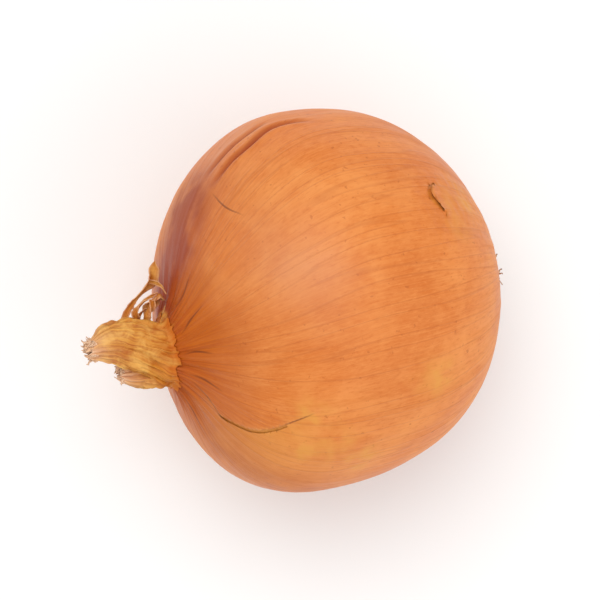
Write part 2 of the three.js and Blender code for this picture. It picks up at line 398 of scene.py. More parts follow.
def skin_surface(along, turn, lift):
    """Points of the skin with its relief, lifted off it by lift."""
    rise = relief(along, turn) + lift
    return plain_skin(along, turn) + outward(along, turn) * rise[..., None]


# ---- Where the outer skin is torn ----

# Tears whose one side laps over the other: the places along each one, then the width of its gap and how
# high its free edge curls, in millimetres. The free edge is on the left of the line, seen from outside.
CRACK = [(77, -46), (71, -51), (66, -57), (59, -54), (53, -51), (45, -45), (37, -39), (29, -35)]
FLAP = [(-26, 29), (-21, 24), (-25, 17)]
LAPS = [
    (CRACK, 0.8, 0.3),
    (FLAP, 1.3, 0.8),
    ([(30, 140), (18, 145), (6, 143), (-8, 148)], 1.7, 0.6),
    ([(-20, -92), (-34, -86), (-46, -90)], 1.7, 0.7),
]

ROOT_SPLITS = 7
ROUGHEST_SPLIT = 1.6  # a split of this half width, in millimetres, would have fully ragged edges


def splits():
    """Thin splits that run up from the roots: the places along each and its half width in millimetres."""
    spread = np.random.default_rng(5)
    found = []
    for index in range(ROOT_SPLITS):
        turn = 360 / ROOT_SPLITS * (index + spread.uniform(-0.4, 0.4))
        top = spread.uniform(-72, -62)
        bend = spread.uniform(-5, 5)
        found.append(([(-84, turn), (-75, turn + bend * 0.4), (top, turn + bend)], spread.uniform(0.3, 0.8)))
    return found


def torn(along, turn):
    """Distance inside the outer skin's edge, below zero where it is gone, and how far the edge curls up."""
    points = plain_skin(along, turn)
    ragged = 0.5 * MM * field(points, 3.2 * MM, 21, 3) + 0.2 * MM * field(points, 0.9 * MM, 22, 2)
    wander = 1.3 * MM * field(points, 11 * MM, 23, 2)
    inside = along - MOUTH - 1.2 * MM + wander + ragged
    curl = np.full(along.shape, TORN_CURL)
    for places, half_width in splits():
        distance, share = line_distance(points, places)
        rough = half_width / ROUGHEST_SPLIT
        away = distance - half_width * MM * along_fade(share) + (wander * 0.6 + ragged) * rough
        inside = np.minimum(inside, away)
    for places, gap, height in LAPS:
        distance, share = line_side(points, places)
        distance = distance + 0.2 * ragged
        width = gap * MM * along_fade(share, 1.0)
        away = np.maximum(distance, -distance - np.where(width > NARROWEST_GAP, width, 0))
        free = np.where(distance > 0, height * MM * along_fade(share), 0)
        curl = np.where(away < inside, free, curl)
        inside = np.minimum(inside, away)
    return inside, curl


# ---- Materials ----


def linear(red, green, blue):
    """A colour given as a screen shows it, from 0 to 255, in Blender's linear units."""
    shares = np.array([red, green, blue]) / 255
    return (*np.where(shares <= 0.04045, shares / 12.92, ((shares + 0.055) / 1.055) ** 2.4), 1)


class Graph:
    """Builds one node material. A value is either a constant or the output of another node."""

    def __init__(self, name):
        self.material = bpy.data.materials.new(name)
        self.material.use_nodes = True
        self.tree = self.material.node_tree
        self.shader = self.tree.nodes["Principled BSDF"]

    def feed(self, socket, value):
        if isinstance(value, bpy.types.NodeSocket):
            self.tree.links.new(value, socket)
        else:
            socket.default_value = value

    def node(self, kind, output=0, settings=None, **inputs):
        """Adds a node and returns one of its outputs. Inputs go by name, or by place as i0 and i1."""
        made = self.tree.nodes.new("ShaderNode" + kind)
        for key, value in (settings or {}).items():
            setattr(made, key, value)
        for key, value in inputs.items():
            self.feed(made.inputs[{"i0": 0, "i1": 1}.get(key, key)], value)
        return made.outputs[output]

    def attribute(self, name, output="Fac"):
        return self.node("Attribute", output, {"attribute_name": name})

    def stretched(self, coordinates, scale):
        return self.node("VectorMath", 0, {"operation": "MULTIPLY"}, i0=coordinates, i1=scale)

    def noise(self, coordinates, scale, detail=3.0, roughness=0.5, distortion=0.0):
        return self.node("TexNoise", "Fac", None, Vector=coordinates, Scale=scale, Detail=detail,
                         Roughness=roughness, Distortion=distortion)

    def math(self, operation, first, second=0.0):
        return self.node("Math", 0, {"operation": operation}, i0=first, i1=second)

    def ramp(self, value, low, high, start=0.0, end=1.0):
        return self.node("MapRange", 0, {"interpolation_type": "SMOOTHSTEP"}, **{
            "Value": value, "From Min": low, "From Max": high, "To Min": start, "To Max": end})

    def mix(self, share, first, second, mode="MIX"):
        made = self.tree.nodes.new("ShaderNodeMix")
        made.data_type = "RGBA"
        made.blend_type = mode
        # The sockets for colours, among those that the node has for each kind of data.
        for index, value in ((0, share), (6, first), (7, second)):
            self.feed(made.inputs[index], value)
        return made.outputs[2]

    def bump(self, height, distance, strength=1.0, normal=None):
        made = self.tree.nodes.new("ShaderNodeBump")
        made.inputs["Distance"].default_value = distance
        made.inputs["Strength"].default_value = strength
        self.feed(made.inputs["Height"], height)
        if normal:
            self.feed(made.inputs["Normal"], normal)
        return made.outputs[0]

    def finish(self, color, roughness, normal, **constants):
        self.feed(self.shader.inputs["Base Color"], color)
        self.feed(self.shader.inputs["Roughness"], roughness)
        self.feed(self.shader.inputs["Normal"], normal)
        for key, value in constants.items():
            self.shader.inputs[key.replace("_", " ")].default_value = value
        return self.material


def vein_lines(graph, grain, count, width, seed):
    """Thin lines from the roots to the neck: they are where a stretched noise passes its middle."""
    stretched = graph.stretched(grain, (count, count, count * 0.05))
    moved = graph.node("VectorMath", 0, {"operation": "ADD"}, i0=stretched, i1=(seed, seed * 2, 0))
    value = graph.noise(moved, 1, 1.5, 0.4)
    away = graph.math("ABSOLUTE", graph.math("SUBTRACT", value, 0.5))
    return graph.ramp(away, 0, width, 1, 0)


def skin_material(name, base, light, deep, vein, gloss):
    """Papery onion skin: softly mottled, streaked along its fibres, with fine veins and a satin gloss, and
    the painted shade, sheen and dark lines that its attributes give.
    """
    graph = Graph(name)
    place = graph.node("TexCoord", "Object")
    grain = graph.attribute("grain", "Vector")
    mottle = graph.noise(place, 75, 5, 0.6, 0.5)
    cloud = graph.noise(place, 30, 3, 0.5)
    streak = graph.noise(graph.stretched(grain, (16, 16, 1.2)), 1, 5, 0.65)
    fibre = graph.noise(graph.stretched(grain, (120, 120, 3.0)), 1, 3, 0.6)
    speck = graph.noise(place, 760, 2, 0.5)
    fleck = graph.noise(graph.stretched(grain, (60, 60, 22)), 1, 4, 0.65)
    veins = vein_lines(graph, grain, 10, 0.022, 3)
    fine_veins = vein_lines(graph, grain, 26, 0.022, 8)
    color = graph.mix(graph.ramp(mottle, 0.36, 0.66), base, light)
    color = graph.mix(graph.ramp(cloud, 0.42, 0.64, 0, 0.55), color, deep)
    color = graph.mix(graph.ramp(streak, 0.44, 0.76, 0, 0.32), color, deep)
    color = graph.mix(graph.ramp(fibre, 0.4, 0.7, 0, 0.3), color, light)
    color = graph.mix(graph.ramp(fleck, 0.5, 0.7, 0, 0.4), color, deep)
    color = graph.mix(graph.ramp(fleck, 0.48, 0.3, 0, 0.4), color, light)
    color = graph.mix(graph.math("MULTIPLY", veins, 0.2), color, vein)
    color = graph.mix(graph.math("MULTIPLY", fine_veins, 0.12), color, vein)
    color = graph.mix(graph.ramp(speck, 0.68, 0.74, 0, 0.4), color, vein)
    patchy = graph.ramp(mottle, 0.3, 0.62, 0.55, 1)
    color = graph.mix(graph.math("MULTIPLY", graph.attribute("pale"), patchy), color, PALE_SKIN)
    color = graph.mix(graph.attribute("ochre"), color,
                      graph.mix(graph.ramp(streak, 0.35, 0.7), OCHRE, OCHRE_DEEP))
    # a pale bloom, partly a painted sheen
    color = graph.mix(graph.attribute("bloom_and_sheen"), color, BLOOM_AND_SHEEN)
    # painted shade, with the skin's darker tone near the neck and the roots
    color = graph.mix(graph.attribute("shade_and_dark"), color, SHADE_AND_DARK_SKIN)
    color = graph.mix(graph.attribute("straw"), color,
                      graph.mix(graph.ramp(fibre, 0.35, 0.65), STRAW, STRAW_LIGHT))
    # fine dark lines, mostly painted shade along dents and under the crack's lip
    line = graph.ramp(graph.math("ABSOLUTE", graph.attribute("line")), 0.06, 0.26, 1, 0)
    line = graph.math("MULTIPLY", line, graph.attribute("line_fade"))
    color = graph.mix(line, color, LINE_SHADE_AND_DARK)
    color = graph.mix(graph.attribute("edge"), color, TORN_EDGE)
    height = graph.math("ADD", graph.math("MULTIPLY", fibre, 0.5), graph.math("MULTIPLY", streak, 0.9))
    height = graph.math("ADD", height, graph.math("MULTIPLY", veins, 0.7))
    height = graph.math("SUBTRACT", height, line)
    crinkle = graph.noise(place, 330, 5, 0.6)
    crinkled = graph.bump(crinkle, 0.06 * MM, 0.7)
    normal = graph.bump(height, 0.07 * MM, 0.8, crinkled)
    rough = graph.ramp(graph.math("ADD", streak, mottle), 0.75, 1.3, gloss - 0.08, gloss + 0.12)
    return graph.finish(color, rough, normal, Specular_IOR_Level=0.25, Coat_Weight=0.03, Coat_Roughness=0.35)


def dry_material(name, base, light, deep, fibre_scale, along_scale, roughness):
    """Dried leaf or root: streaked along its length, with brown patches."""
    graph = Graph(name)
    place = graph.node("TexCoord", "Object")
    grain = graph.attribute("grain", "Vector")
    streak = graph.noise(graph.stretched(grain, (fibre_scale, fibre_scale, along_scale)), 1, 5, 0.6)
    patch = graph.noise(place, 230, 4, 0.6, 0.4)
    color = graph.mix(graph.ramp(streak, 0.36, 0.66), deep, base)
    color = graph.mix(graph.ramp(patch, 0.4, 0.68, 0, 0.75), color, light)
    color = graph.mix(graph.attribute("edge"), color, PALE_EDGE)
    color = graph.mix(graph.attribute("ochre"), color, OCHRE)
    normal = graph.bump(graph.math("ADD", streak, graph.math("MULTIPLY", patch, 0.5)), 0.12 * MM)
    rough = graph.ramp(patch, 0.3, 0.7, roughness - 0.1, roughness + 0.1)
    return graph.finish(color, rough, normal, Specular_IOR_Level=0.25)


OCHRE = linear(196, 100, 14)
OCHRE_DEEP = linear(174, 78, 6)
# a pale bloom colour, partly used as a painted sheen
BLOOM_AND_SHEEN = linear(210, 142, 104)
# the darkest skin colour, used mostly for painted shade
SHADE_AND_DARK_SKIN = linear(140, 38, 0)
PALE_SKIN = linear(220, 148, 64)
STRAW = linear(204, 130, 40)
STRAW_LIGHT = linear(228, 168, 78)
# fine dark lines, mostly painted shade along dents and under the crack's lip
LINE_SHADE_AND_DARK = linear(112, 52, 22)
TORN_EDGE = linear(222, 152, 86)
PALE_EDGE = linear(240, 200, 166)

OUTER_SKIN = skin_material("outer_skin", linear(214, 120, 48), linear(227, 142, 72), linear(194, 95, 26),
                           linear(160, 72, 20), 0.48)
INNER_SKIN = skin_material("inner_skin", linear(214, 130, 52), linear(226, 150, 74), linear(198, 108, 36),
                           linear(164, 84, 30), 0.44)
DRY_LEAF = dry_material("dry_leaf", linear(210, 142, 50), linear(236, 184, 96), linear(172, 92, 22),
                        14, 1.5, 0.6)
DRY_ROOT = dry_material("dry_root", linear(206, 160, 104), linear(232, 200, 150), linear(134, 90, 50),
                        2, 1.5, 0.8)
CORKY_PLATE = dry_material("corky_plate", linear(146, 106, 66), linear(182, 142, 96), linear(76, 50, 30),
                           9, 4, 0.85)


# ---- Bulb ----

# Soft patches where the skin is paler and yellower: the places along each one and its reach in millimetres.
PALE_PATCHES = [
    ([(33, -37), (28, -39)], 3.6),
    ([(34, -52), (22, -50)], 4.4),
    ([(11, -57), (8, -60)], 3.6),
    ([(-9, -31), (-14, -34)], 3.4),
    ([(-28, 18), (-38, 26)], 4.5),
    ([(-10, 150), (-30, 140)], 6),
    ([(20, -140), (0, -150)], 5),
]
PALE_REACH = 8 * MM  # how far the paler skin on the open side of the crack goes

# Where the skin is painted dark, mostly as painted shade, and where it has a pale bloom, partly a painted
# sheen: the same, with each one's share.
SHADE_AND_DARK_PATCHES = [
    # painted shade where the next onion in the pack shaded the upper left shoulder, partly the skin's own
    # darker tone
    ([(76, 134), (70, 108), (60, 90), (52, 90)], 8, 0.95),
    ([(56, 72), (44, 78)], 7, 0.4),
    # painted shade along the lower left edge, below the neck
    ([(74, -90), (50, -84), (20, -84)], 9, 0.3),
    # painted shadow in the hollow behind the torn strips
    ([(86, 100), (78, 104)], 4.5, 0.8),
]
BLOOMS_AND_SHEEN = [
    ([(34, 80), (28, 80), (18, 78)], 4, 0.4),
    # painted sheen where the light from above shines on the top of the skin
    ([(36, 24), (26, 8)], 9, 0.35),
]

# Blotches in the painted dark patches, turned away from the onion's axes so that they don't line up with
# them.
BLOTCH_SIZE = 5 * MM
BLOTCH_TURN = np.array(Matrix.Rotation(0.8, 3, Vector((1, 2, 3))))


def patches(points, rows):
    return sum(share * near(points, places, reach) for places, reach, share in rows)


def shade_and_dark_share(points, latitude, wander, rough):
    """Where the skin is painted dark: in blotched patches, mostly painted shade, as painted shade in the
    folds, and darker near the neck and the roots.
    """
    blotch = field(points @ BLOTCH_TURN, BLOTCH_SIZE, 33, 4)
    shade_and_dark = patches(points, SHADE_AND_DARK_PATCHES) * np.clip(0.9 + 0.5 * blotch, 0.4, 1.2)
    # painted shade in the two folds
    shade_and_dark = shade_and_dark + 0.9 * in_fold(points, INNER_FOLD, 1.0)
    shade_and_dark = shade_and_dark + 0.65 * in_fold(points, OUTER_FOLD, 0.9)
    shade_and_dark = shade_and_dark + 0.35 * smoothstep(latitude, 76, 84) * np.clip(0.6 + rough, 0, 1)
    shade_and_dark = shade_and_dark + 0.5 * smoothstep(-latitude + 5 * wander, 70, 79)
    return np.clip(shade_and_dark, 0, 0.8)


def pale_share(points, rough):
    """Where the skin is pale: on the open side of the crack and in soft patches."""
    below, share = line_side(points, CRACK)
    pale = 0.85 * along_fade(share) * np.where(below < 0, np.exp(below / PALE_REACH), 0)
    for places, reach in PALE_PATCHES:
        pale = np.maximum(pale, (0.6 + 0.9 * rough) * near(points, places, reach))
    return pale


def tones(along, turn):
    """The skin's regional colours and its painted shade and sheen, as shares from 0 to 1 for the material."""
    points = plain_skin(along, turn)
    latitude = latitude_of(along)
    wander = field(points, 12 * MM, 31, 3)
    rough = field(points, 3 * MM, 32, 3)
    ochre = smoothstep(latitude + 10 * wander, 46, 74) * 0.9
    straw = smoothstep(latitude + 4 * wander + 3 * rough, 82, 85)
    # pale bloom, partly a painted sheen
    bloom_and_sheen = np.clip(patches(points, BLOOMS_AND_SHEEN) * (1 + 0.5 * wander), 0, 0.6)
    pale = pale_share(points, rough)
    line, fade = shade_and_skin_lines(points)
    return {"ochre": ochre * (1 - 0.6 * pale), "straw": straw, "bloom_and_sheen": bloom_and_sheen,
            "shade_and_dark": shade_and_dark_share(points, latitude, wander, rough), "pale": np.clip(pale, 0, 0.9),
            "line": line, "line_fade": fade}


NO_LINE = 9.0  # the distance, in millimetres, that is as good as none


def shade_and_skin_lines(points):
    """Distance to the nearest fine line on the skin, in millimetres, and how strongly it shows there. The
    lines are mostly painted shade.
    """
    nearest = np.full(points.shape[:-1], NO_LINE)
    strength = np.zeros(points.shape[:-1])
    for places in SHADE_AND_SKIN_LINES:
        distance, share = line_side(points, places)
        closer = np.abs(distance) / MM < np.abs(nearest)
        nearest = np.where(closer, distance / MM, nearest)
        strength = np.where(closer, 0.75 * along_fade(share, 1.0), strength)
    return nearest, strength


def skin_grid(start, rows, columns):
    """Distances along the outline and angles round it for a grid over the skin, from start to its end."""
    turns = np.arange(columns) * 2 * np.pi / columns
    return np.meshgrid(np.linspace(start, SKIN_END, rows), turns, indexing="ij")


def tucked(along):
    """How far the skins draw in at the neck, to pass under its leaves."""
    return 0.7 * MM * smoothstep(along, SKIN_END - 2.4 * MM, SKIN_END)


def skin_map(rows, columns):
    """Map places for a skin grid: once round it from left to right, and from the roots up to the neck."""
    up, across = np.meshgrid(np.linspace(0.01, 0.99, rows), np.arange(columns) / columns, indexing="ij")
    return np.stack([across, up], axis=-1).reshape(-1, 2)


INNER_SKIN_DEPTH = 0.1 * MM  # the inner skin lies this far under the bulb's surface


def inner_skin_piece():
    """The whole bulb under its outer skin, from the floor of the root seat to inside the neck's leaves."""
    rows, columns = 170, 300
    along, turn = skin_grid(0, rows, columns)
    points = skin_surface(along, turn, -INNER_SKIN_DEPTH - tucked(along))
    layers = {key: values.ravel() for key, values in tones(along, turn).items()}
    # painted shade in the root seat, below its mouth
    layers["shade_and_dark"] = np.maximum(layers["shade_and_dark"], 0.8 * (along.ravel() < MOUTH))
    layers["line_fade"] = layers["edge"] = np.zeros(along.size)
    piece("bulb_inner_skin", points.reshape(-1, 3), grid_faces(rows, columns, True), INNER_SKIN, "onion_skin",
          ["bulb"], 0.15 * MM, skin_map(rows, columns), grain=grain_of(along, turn).reshape(-1, 3), **layers)


def outer_skin_piece():
    """The outer skin: a thin sheet with torn edges, a little off the bulb and curled up where it tore.

    Points close to a torn edge slide onto it, so that the edge is smooth, and those along the free edge
    of a lap slide out over its gap."""
    rows, columns = 250, 400
    along, turn = skin_grid(MOUTH, rows, columns)
    inside, curl = torn(along, turn)
    by_row, by_column = np.gradient(inside)
    steep = by_row**2 + by_column**2
    close = np.abs(inside) < 0.6 * np.sqrt(steep)
    curled = np.exp(-np.maximum(inside, 0) / CURL_REACH)
    overlap = np.where(curl > TORN_CURL, curl * curled, 0)
    move = (np.where(close, -inside, 0) - overlap) / np.maximum(steep, 1e-9)
    along = np.clip(along + move * by_row * (along[1, 0] - along[0, 0]), MOUTH, SKIN_END)
    turn = turn + move * by_column * (turn[0, 1] - turn[0, 0])
    inside = np.where(close, 0, inside)
    points = plain_skin(along, turn)
    loose = 0.5 + 0.5 * np.clip(field(points, 6 * MM, 41, 2) * 1.6, -1, 1)
    lift = SKIN_GAP + curl * (0.4 + 0.6 * loose) * curled
    waves = np.clip(field(grain_of(along, turn) * (4, 4, 2), 1, 42, 2), 0, 1)
    lift = lift + 0.10 * MM * waves - tucked(along)
    points = skin_surface(along, turn, lift)
    faces = kept_faces(grid_faces(rows, columns, True), inside.ravel() >= 0)
    layers = {key: values.ravel() for key, values in tones(along, turn).items()}
    edge = np.minimum(curl / TORN_CURL, 1) * 0.4 * np.exp(-np.maximum(inside, 0) / (0.3 * MM))
    layers["edge"] = edge.ravel()
    piece("bulb_outer_skin", points.reshape(-1, 3), faces, OUTER_SKIN, "onion_skin", ["bulb"],
          uv=skin_map(rows, columns), grain=grain_of(along, turn).reshape(-1, 3), **layers)


inner_skin_piece()
outer_skin_piece()


# ---- Neck ----

# Height, sideways place, depth, half width and half thickness along the front leaf and the back leaf.
FRONT_LEAF = np.array([
    (33.0, -4.4, 0.0, 6.0, 4.4),
    (35.0, -3.6, 0.5, 5.6, 4.2),
    (38.5, -2.0, 1.2, 5.0, 3.0),
    (42.0, -1.0, 1.6, 4.3, 1.9),
    (45.5, -0.6, 1.9, 3.2, 1.2),
    (48.6, -1.1, 2.0, 1.6, 0.8),
    (49.8, -1.2, 2.0, 0.5, 0.3),
]) * MM
BACK_LEAF = np.array([
    (33.0, -4.7, -0.4, 5.5, 4.1),
    (35.5, -5.2, -0.9, 5.0, 3.2),
    (39.0, -6.2, -1.1, 3.4, 2.0),
    (42.0, -6.6, -1.2, 1.6, 1.0),
    (43.0, -6.7, -1.2, 0.5, 0.3),
]) * MM

PARTING = (31.2 * MM, 34.5 * MM)  # between these heights a leaf parts from the skin it lies on
LEAF_SHEET = 0.14 * MM
STRIP_SHEET = 0.16 * MM


def leaf_sheath(name, stations, skirt, lift, node, seed):
    """A dried leaf wrapped round the neck: a pleated tube that lies on the shoulder for a little way at its
    foot, from latitude skirt, and closes to a ragged tip."""
    rows, columns = 150, 180
    start = spot(skirt, 0)[0]
    along = np.linspace(start, NECK_END + stations[-1, 0] - NECK_TOP, rows)[:, None]
    turn = np.arange(columns)[None, :] * 2 * np.pi / columns
    height = np.interp(along, ALONG, OUTLINE[:, 1]) + np.maximum(along - NECK_END, 0)
    heights, *sizes = along_curve(stations, 60).T
    side, depth, half_width, half_depth = (np.interp(height, heights, size) for size in sizes)
    free = smoothstep(height, *PARTING)
    grain = grain_grid(turn, along / RADIUS * 3)
    pleats = field(grain * (2.6, 2.6, 0.9), 1, seed, 2)
    creases = field(grain * (6.5, 6.5, 1.6), 1, seed + 1, 3)
    swell = 1 + 0.34 * (0.22 - np.abs(pleats)) * 2 + 0.13 * creases
    twist = free * (0.5 * smoothstep(height, NECK_BASE, NECK_TOP + 12 * MM) + 0.18 * pleats)
    tube = np.stack([depth + half_depth * swell * np.cos(turn + twist),
                     side + half_width * swell * np.sin(turn + twist), height + 0 * turn], axis=-1)
    loose = lift + 0.35 * MM * np.clip(0.3 - np.abs(pleats) + 0.4 * creases, 0, 1)
    flat = skin_surface(np.minimum(along, NECK_END) + 0 * turn, turn + 0 * along, loose)
    points = flat + (tube - flat) * free[..., None]
    crumple = np.stack([field(points, 2.4 * MM, seed + k, 2) for k in (2, 3, 4)], axis=-1)
    points = points + 0.3 * MM * crumple * free[..., None]
    teeth = field(grain * (3.5, 3.5, 0), 1, seed + 5, 3)
    fine = field(grain * (11, 11, 0), 1, seed + 6, 2)
    below = along - start - (1.5 + 1.7 * teeth + 0.25 * fine) * MM
    above = along[-1] - along - (0.5 + 1.2 * teeth) * MM
    kept = (np.minimum(below, above) >= 0).ravel()
    edge = 0.9 * np.exp(-np.maximum(above, 0) / (2.2 * MM))
    ochre = 0.95 * np.exp(-np.maximum(below + 0.8 * MM * creases, 0) / (2.6 * MM))
    thing = piece(name, points.reshape(-1, 3), kept_faces(grid_faces(rows, columns, True), kept), DRY_LEAF,
                  "dry_leaf", [node], grain=grain.reshape(-1, 3), edge=edge.ravel(), ochre=ochre.ravel())
    thicken(thing, LEAF_SHEET)


leaf_sheath("neck_leaf_front_sheath", FRONT_LEAF, 80, 0.42 * MM, "neck_leaf_front", 51)
leaf_sheath("neck_leaf_back_sheath", BACK_LEAF, 82, 0.3 * MM, "neck_leaf_back", 61)


def ribbon(name, route, widths, seed, nodes, curl):
    """A torn strip of dried leaf along a route, cupped across its width and ragged along its sides."""
    rows, columns = 70, 11
    centre = along_curve(route, rows)
    tangent = unit(np.gradient(centre, axis=0))
    across = unit(np.cross(tangent, (1, 0.15, 0.1)))
    towards = np.cross(across, tangent)
    share = np.linspace(0, 1, rows)
    half = along_curve(np.array([(place, width, 0) for place, width in widths]), 200)
    half = np.interp(share, half[:, 0], half[:, 1]) * MM
    side = np.linspace(-1, 1, columns)
    ragged = 1 + 0.3 * field(np.stack([share * 14, 0 * share, 0 * share], -1), 1, seed, 3)
    roll = 2.2 * np.sin(share * 5 + seed) * curl
    offset = half[:, None] * side[None, :] * ragged[:, None]
    cup = half[:, None] * curl * side[None, :] ** 2
    lean_across = np.cos(roll)[:, None]
    lean_towards = np.sin(roll)[:, None]
    points = (centre[:, None] + across[:, None] * (offset * lean_across - cup * lean_towards)[..., None]
              + towards[:, None] * (offset * lean_towards + cup * lean_across)[..., None])
    points = points + 0.12 * MM * np.stack([field(points, 1.3 * MM, seed + k, 2) for k in range(3)], -1)
    grain = np.stack([side[None, :] * 0.6 + 0 * share[:, None], 0 * offset, share[:, None] + 0 * offset], -1)
    edge = 0.5 * np.abs(side[None, :]) ** 4 + 0 * share[:, None]
    thing = piece(name, points.reshape(-1, 3), grid_faces(rows, columns, False), DRY_LEAF, "dry_leaf", nodes,
                  grain=grain.reshape(-1, 3), edge=edge.ravel(), ochre=0.25 + 0 * edge.ravel())
    thicken(thing, STRIP_SHEET)


# Each torn strip's name, the points of its route in millimetres, its half width in millimetres at shares
# of its length, its seed, the node it stands for and how far it curls.
STRIPS = [
    ("leaf_strip_ribbon", [(-1.6, 1.8, 38.6), (-1.8, 4.2, 38.2), (-1.8, 6.8, 35.9), (-1.5, 8.7, 33.4),
                           (-1.2, 10.2, 31.6), (-1.0, 13.4, 30.2)],
     [(0, 1.0), (0.3, 0.6), (0.55, 0.7), (0.72, 1.2), (0.9, 0.9), (1, 0.15)], 71, ["leaf_strip"], 0.5),
    ("leaf_curl_ribbon", [(-1.6, 1.2, 34.2), (-1.0, 3.6, 33.8), (-0.2, 5.8, 32.8), (0.6, 7.0, 31.4),
                          (0.2, 5.6, 30.4)],
     [(0, 1.0), (0.5, 1.1), (0.85, 0.8), (1, 0.3)], 76, ["leaf_curl"], 0.8),
    ("leaf_strip_arm", [(-1.4, 10.0, 32.2), (0.2, 9.2, 31.4), (1.6, 8.0, 31.0), (3.0, 6.6, 31.0)],
     [(0, 0.5), (0.5, 0.4), (1, 0.15)], 79, [], 0.5),
    ("leaf_curl_shred", [(-1.8, 1.6, 36.4), (-1.4, 3.4, 35.9), (-0.9, 4.6, 34.6), (-0.4, 4.2, 33.2)],
     [(0, 0.5), (0.5, 0.3), (1, 0.12)], 83, [], 0.5),
    ("leaf_strip_shred", [(-1.2, 2.0, 37.2), (-0.6, 4.6, 36.2), (-0.2, 6.4, 33.8), (0.8, 7.4, 31.8)],
     [(0, 0.9), (0.5, 0.6), (1, 0.2)], 87, [], 0.7),
    ("leaf_curl_loop", [(-0.2, 1.6, 35.2), (1.0, 3.6, 35.4), (1.4, 5.2, 33.8), (0.8, 6.2, 31.6)],
     [(0, 0.8), (0.5, 0.9), (1, 0.3)], 91, [], 0.9),
]
for name, route, widths, seed, nodes, curl in STRIPS:
    ribbon(name, np.array(route) * MM, widths, seed, nodes, curl)


# ---- Root end ----

UPRIGHT = LAY_DOWN.inverted()
MAT_ROOTS = 90

# A bundle's number of strands, how far they spread, how thick they are and how far they stand off.
OUTER_BUNDLE = (8, 1.9 * MM, 1.0 * MM, 1.1 * MM)
INNER_BUNDLE = (8, 2.2 * MM, 1.0 * MM, 2.2 * MM)


def plate_height(radius):
    """Height of the plate's domed face at a distance from its middle."""
    mouth = OUTLINE[2, 1]
    return mouth - PLATE_PROUD * np.cos(np.clip(radius / PLATE_RADIUS, 0, 1) * np.pi / 2)


def root_plate_piece():
    """The dried disc that the roots grow from: corky, with radial cracks."""
    rows, columns = 50, 160
    radius = np.linspace(PLATE_RADIUS, 0.2 * MM, rows)[:, None]
    turn = np.arange(columns)[None, :] * 2 * np.pi / columns
    x = radius * np.cos(turn)
    y = radius * np.sin(turn)
    points = np.stack([x, y, plate_height(radius) + 0 * turn], axis=-1)
    grain = grain_grid(turn, radius / RADIUS * 4)
    lumps = 0.5 * field(points, 2.2 * MM, 81, 4)
    cracks = 0.3 * np.abs(field(grain * (5, 5, 1), 1, 82, 3))
    points[..., 2] -= MM * (lumps + cracks)
    rim = points[0] + (0, 0, SEAT_DEPTH - 0.3 * MM)
    points = np.vstack([rim[None], points])
    grain = np.vstack([grain[:1], grain])
    edge = np.zeros(points.shape[:2])
    piece("root_plate_cork", points.reshape(-1, 3), grid_faces(rows + 1, columns, True), CORKY_PLATE,
          "root_plate", ["root_plate"], grain=grain.reshape(-1, 3), edge=edge.ravel(), ochre=edge.ravel())


def centreline(node):
    """The middle of a packed root from its foot on the plate to its tip."""
    corners = np.array([UPRIGHT @ v.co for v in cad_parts[node].data.vertices])
    foot_first = corners[np.argsort(np.hypot(corners[:, 0], corners[:, 1]))]
    groups = np.array_split(foot_first, 5)
    return np.array([group.mean(axis=0) for group in groups])


def strand(route, thickness, seed, rows=16, sides=7):
    """Points and faces of one thin dried root along a route."""
    centre = along_curve(route, rows)
    share = np.linspace(0, 1, rows)
    tangent = unit(np.gradient(centre, axis=0))
    across = unit(np.cross(tangent, (0.3, 0.2, 1)))
    towards = np.cross(tangent, across)
    wiggle = field(np.stack([share * 3, 0 * share + seed, 0 * share], -1), 1, seed % 97, 2)[:, None]
    centre = centre + across * wiggle * 0.9 * MM * share[:, None]
    turn = np.arange(sides) * 2 * np.pi / sides
    radius = thickness / 2 * (1 - 0.65 * share**1.5) * (1 + 0.25 * np.sin(share * 19 + seed))
    points = (centre[:, None] + radius[:, None, None] * (np.cos(turn)[None, :, None] * across[:, None]
              + np.sin(turn)[None, :, None] * towards[:, None]))
    grain = np.stack([np.cos(turn)[None] + 0 * share[:, None], np.sin(turn)[None] + seed + 0 * share[:, None],
                      share[:, None] + 0 * turn[None]], axis=-1)
    return points.reshape(-1, 3), grid_faces(rows, sides, True), grain.reshape(-1, 3)


def over_root_end(route, clear, highest):
    """Keeps a root between just off the plate and the skin round it, and a highest distance off them."""
    radius = np.hypot(route[:, 0], route[:, 1])
    skin = -ROOT_DEPTH * (1 - np.clip(radius / RADIUS, 0, 1) ** FULLNESS) ** (1 / FULLNESS)
    surface = np.where(radius < SEAT_RADIUS, plate_height(radius) - 0.3 * MM, skin - 0.5 * MM)
    route[:, 2] = np.clip(route[:, 2], surface - highest, surface - clear)
    return route


def bundle(node, strands, spread, thickest, highest):
    """One packed root as a small bundle of finer roots that part towards their tips."""
    middle = centreline(node)
    parts = []
    for index in range(strands):
        fan = random.normal(0, 1, 3) * spread * (0.25 if index == 0 else 1)
        length = random.uniform(0.65, 1.0)
        shares = np.linspace(0, 1, len(middle))[:, None]
        route = middle[0] + (middle - middle[0]) * length + fan * shares**1.2 * (1 + 0.3 * random.normal())
        route = route + random.normal(0, 0.25 * MM, route.shape) * shares
        thickness = thickest * (random.uniform(0.8, 1) if index == 0 else random.uniform(0.35, 0.75))
        route = over_root_end(route, thickness * 0.4, highest * random.uniform(0.7, 1))
        parts.append(strand(route, thickness, int(random.integers(1, 900))))
    root_piece(node + "_fibres", parts, [node])


def root_piece(name, parts, nodes=()):
    """Several strands as one piece, each with its own shade."""
    points, faces, grain = joined(parts)
    pale = np.repeat(random.uniform(0, 0.45, len(parts)), len(parts[0][0]))
    brown = np.repeat(np.clip(random.normal(0.1, 0.25, len(parts)), 0, 0.6), len(parts[0][0]))
    piece(name, points, faces, DRY_ROOT, "dry_root", nodes, grain=grain, edge=pale, ochre=brown)


